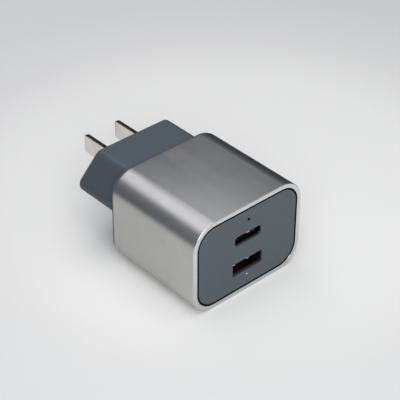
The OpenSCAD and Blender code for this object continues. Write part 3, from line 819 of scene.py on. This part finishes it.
def sprung_contact(number):
    """A gold leaf that rises from its root, dips to the touching point and curls up at its tip."""
    node = "usb_a_contact_%d" % number
    low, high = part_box(node)
    thickness = 0.25 * MM
    root_y, root_z = high.y - 0.2 * MM, high.z - thickness / 2
    dip_z = low.z + thickness / 2
    tip_y = low.y
    points = [(high.y, root_z), (root_y - 0.3 * MM, root_z), (root_y - 2.4 * MM, (root_z + dip_z) / 2),
              (root_y - 4.2 * MM, dip_z), (root_y - 4.8 * MM, dip_z), (tip_y, root_z - 0.35 * MM)]
    bm = bmesh.new()
    ribbon(bm, smooth_route(points), thickness, low.x, high.x, 0.08 * MM)
    piece("sprung_contact_%d" % number, bm, [GOLD], "contact_%d" % number, [node])


def grip_leaves(name, node, body, side):
    """Two leaves cut free from the shell, bowed inwards to grip a plug."""
    low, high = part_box(node)
    wall = usb_a_z + side * (usb_a_high.z - usb_a_low.z - SHELL_T) / 2
    dip = side * 0.35 * MM
    root = high.y
    points = [(root, wall), (root - 1.2 * MM, wall - 0.3 * dip), (root - 2.6 * MM, wall - 0.85 * dip),
              (root - 3.4 * MM, wall - dip), (root - 4.0 * MM, wall - 0.85 * dip), (low.y, wall - 0.4 * dip)]
    bm = bmesh.new()
    for x in (-3.2 * MM, 3.2 * MM):
        ribbon(bm, smooth_route(points), SHELL_T, x - 1 * MM, x + 1 * MM, 0.08 * MM)
    piece(name, bm, [SHELL], body, [node])


def light_pipe(name, node, material, recess):
    """A clear rod with a domed tip in the face and a flared foot over the indicator's LED."""
    low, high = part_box(node)
    z = (low.z + high.z) / 2
    foot = (high.z - low.z) / 2
    tip = 0.35 * MM
    front = low.y + recess
    shoulder = face_low.y + FACE_T + 0.05 * MM
    outline = round_hole(2 * foot, 0, z, steps=28)
    rise = 0.12 * MM
    dome = []
    for angle in (80, 60, 40, 20, 0):
        a = math.radians(angle)
        dome.append((foot - tip * math.cos(a), front + rise * (1 - math.sin(a))))
    ease = 0.1 * MM
    stem = [(foot - tip, shoulder), (ease, shoulder), (0, shoulder + ease)]
    profile = dome + stem + [(0, high.y - ease), (ease, high.y)]
    bm = bmesh.new()
    rings = loft(bm, outline, profile)
    bm.faces.new(rings[0])
    bm.faces.new(rings[-1])
    piece(name, bm, [material], replaces=[node])


sleeve()
faceplate()
black_seal()
rear_plate()
plug_block()
blade("live_pin", "live_blade")
blade("neutral_pin", "neutral_blade")
usb_c_socket()
keeper("usb_c_keeper", "usb_c_shell", USB_C_WINDOW, usb_c_z, [(0, 0.6 * MM)])
keeper("usb_a_keepers", "usb_a_shell", USB_A_WINDOW, usb_a_z, [(0, 0.6 * MM), (-5.5 * MM, 0.4 * MM)])
usb_c_tongue()
for contact in (1, 2, 3, 4):
    sprung_contact(contact)
grip_leaves("upper_grip_leaves", "usb_a_top_springs", "top_springs", 1)
grip_leaves("lower_grip_leaves", "usb_a_bottom_springs", "bottom_springs", -1)
light_pipe("upper_indicator", "upper_light_pipe", DARK_LENS, recess=0.1 * MM)
light_pipe("lower_indicator", "lower_light_pipe", LIT_LENS, recess=0.12 * MM)


# ---- stage, lights and camera ----------------------------------------------------------------------

# painted light: share of the way out from a point near the object, and the paper's painted tone there,
# brightest near the object as a pool of light
FLOOR_LIGHT_POOL_STOPS = [(0.0, (0.86, 0.86, 0.855)), (0.5, (0.83, 0.83, 0.825)), (0.62, (0.795, 0.795, 0.79)),
               (0.77, (0.73, 0.73, 0.73)), (1.0, (0.69, 0.695, 0.70))]


def pale_floor():
    """Paper with a painted pool of light that falls off round the object, and a painted reflection for
    mirror-like bounces.
    """
    bm = bmesh.new()
    bmesh.ops.create_grid(bm, x_segments=8, y_segments=8, size=3.0)
    mesh = bpy.data.meshes.new("floor")
    bm.to_mesh(mesh)
    bm.free()
    floor = bpy.data.objects.new("floor", mesh)
    bpy.context.scene.collection.objects.link(floor)
    s = Shader("floor_paper_painted_light", Roughness=0.8, Specular_IOR_Level=0.15)
    # painted light: the paper's tone is brightest near the object and darker further out
    pale = s.ramp(s.away((0.04, 0.01, 0.0), 0.0, 0.13), FLOOR_LIGHT_POOL_STOPS)
    # painted reflection: mirror-like bounces see a floor that is brightest in front and ends a little way
    # behind
    ahead = s.along((0.0, -1.0, 0.0), 0.02, 0.05)
    near = s.ramp(ahead, [(0.0, (0.60, 0.60, 0.595)), (1.0, (0.92, 0.93, 0.93))])
    ended = s.larger(s.along((0.75, 0.66, 0.0), 0.03, 0.07), s.along((0.0, 1.0, 0.0), 0.08, 0.12))
    path = s.node("ShaderNodeLightPath")
    bounce = s.mixed(ended, near, (0.05, 0.05, 0.06, 1))
    s.link(s.mixed(path.outputs["Is Glossy Ray"], pale, bounce), s.surface.inputs["Base Color"])
    mesh.materials.append(s.material)


def direction(azimuth, elevation):
    """The way out from the object, in degrees: azimuth 0 is in front of the ports and 90 on the right."""
    a, e = math.radians(azimuth), math.radians(elevation)
    return Vector((math.sin(a) * math.cos(e), -math.cos(a) * math.cos(e), math.sin(e)))


def area_light(name, azimuth, elevation, distance, size, power, colour=(1, 1, 1)):
    """A soft box that faces the object; distance and size are in metres, power in watts."""
    towards = direction(azimuth, elevation)
    data = bpy.data.lights.new(name, "AREA")
    data.shape = "RECTANGLE"
    data.size, data.size_y = size
    data.energy = power
    data.color = colour
    obj = bpy.data.objects.new(name, data)
    obj.visible_camera = False
    obj.location = sleeve_mid + towards * distance
    obj.rotation_mode = "QUATERNION"
    obj.rotation_quaternion = (-towards).to_track_quat("-Z", "Y")
    bpy.context.scene.collection.objects.link(obj)


# position along the lean from low behind (0) to high in front (1), and the light level there
WORLD_STOPS = [(0.15, 0.015), (0.26, 0.03), (0.33, 0.16), (0.37, 0.17),
               (0.44, 0.07), (0.55, 0.14), (0.75, 0.5), (1.0, 0.7)]


def world_tone(level):
    """A grey of that level; levels below 0.3 lean towards blue."""
    cool = 0.25 * max(0.0, 1 - level / 0.3)
    return (level * (1 - cool), level * (1 - cool / 2), level * (1 + cool))


def studio_world():
    """Surroundings that are dark low down behind the object and pale above and in front of it."""
    world = bpy.data.worlds.new("studio")
    bpy.context.scene.world = world
    world.use_nodes = True
    tree = world.node_tree
    background = tree.nodes["Background"]
    place = tree.nodes.new("ShaderNodeTexCoord")
    lean = tree.nodes.new("ShaderNodeVectorMath")
    lean.operation = "DOT_PRODUCT"
    lean.inputs[1].default_value = (-0.35, -0.75, 0.56)
    span = tree.nodes.new("ShaderNodeMapRange")
    span.inputs["From Min"].default_value = -1
    ramp = tree.nodes.new("ShaderNodeValToRGB")
    tree.links.new(place.outputs["Generated"], lean.inputs[0])
    tree.links.new(lean.outputs["Value"], span.inputs["Value"])
    tree.links.new(span.outputs["Result"], ramp.inputs["Fac"])
    fill_ramp(ramp.color_ramp.elements, [(position, world_tone(level)) for position, level in WORLD_STOPS])
    path = tree.nodes.new("ShaderNodeLightPath")
    mix = tree.nodes.new("ShaderNodeMix")
    mix.data_type = "RGBA"
    mix.inputs["B"].default_value = (0.78, 0.785, 0.79, 1)
    tree.links.new(path.outputs["Is Camera Ray"], mix.inputs["Factor"])
    tree.links.new(ramp.outputs["Color"], mix.inputs["A"])
    tree.links.new(mix.outputs["Result"], background.inputs["Color"])


CAMERA_AZIMUTH = -42.09      # degrees round from the port face
CAMERA_ELEVATION = 35.89
CAMERA_ROLL = 0.33
CAMERA_DISTANCE = 0.4241     # metres from the sleeve's centre
CAMERA_LENS = 123.5          # millimetres on a 36 mm sensor
AIM_RIGHT = -0.00209         # the aim point's offset from the sleeve's centre
AIM_UP = 0.00598


def photo_camera():
    back = direction(CAMERA_AZIMUTH, CAMERA_ELEVATION)
    right = (-back).cross(Vector((0, 0, 1))).normalized()
    up = right.cross(-back)
    turn = Matrix.Rotation(math.radians(CAMERA_ROLL), 3, back)
    right, up = turn @ right, turn @ up
    data = bpy.data.cameras.new("camera")
    data.lens = CAMERA_LENS
    data.sensor_width = 36
    data.clip_start, data.clip_end = 0.01, 20
    camera = bpy.data.objects.new("camera", data)
    place = sleeve_mid + right * AIM_RIGHT + up * AIM_UP + back * CAMERA_DISTANCE
    turned = Matrix((right, up, back)).transposed().to_4x4()
    camera.matrix_world = Matrix.Translation(place) @ turned
    bpy.context.scene.collection.objects.link(camera)
    bpy.context.scene.camera = camera


pale_floor()
area_light("front_fill", -38, 34, 0.42, (0.34, 0.22), 0.85)
area_light("rear_box", -168, 53, 0.55, (0.46, 0.26), 0.37, (0.97, 0.96, 1.0))
area_light("top_box", 140, 58, 0.13, (0.045, 0.045), 0.0062)
area_light("ceiling", 0, 85, 1.1, (1.2, 1.2), 5.0)
studio_world()
photo_camera()
bpy.context.scene.view_settings.view_transform = "Standard"


def corners(box):
    return [list(box[0]), list(box[1])]
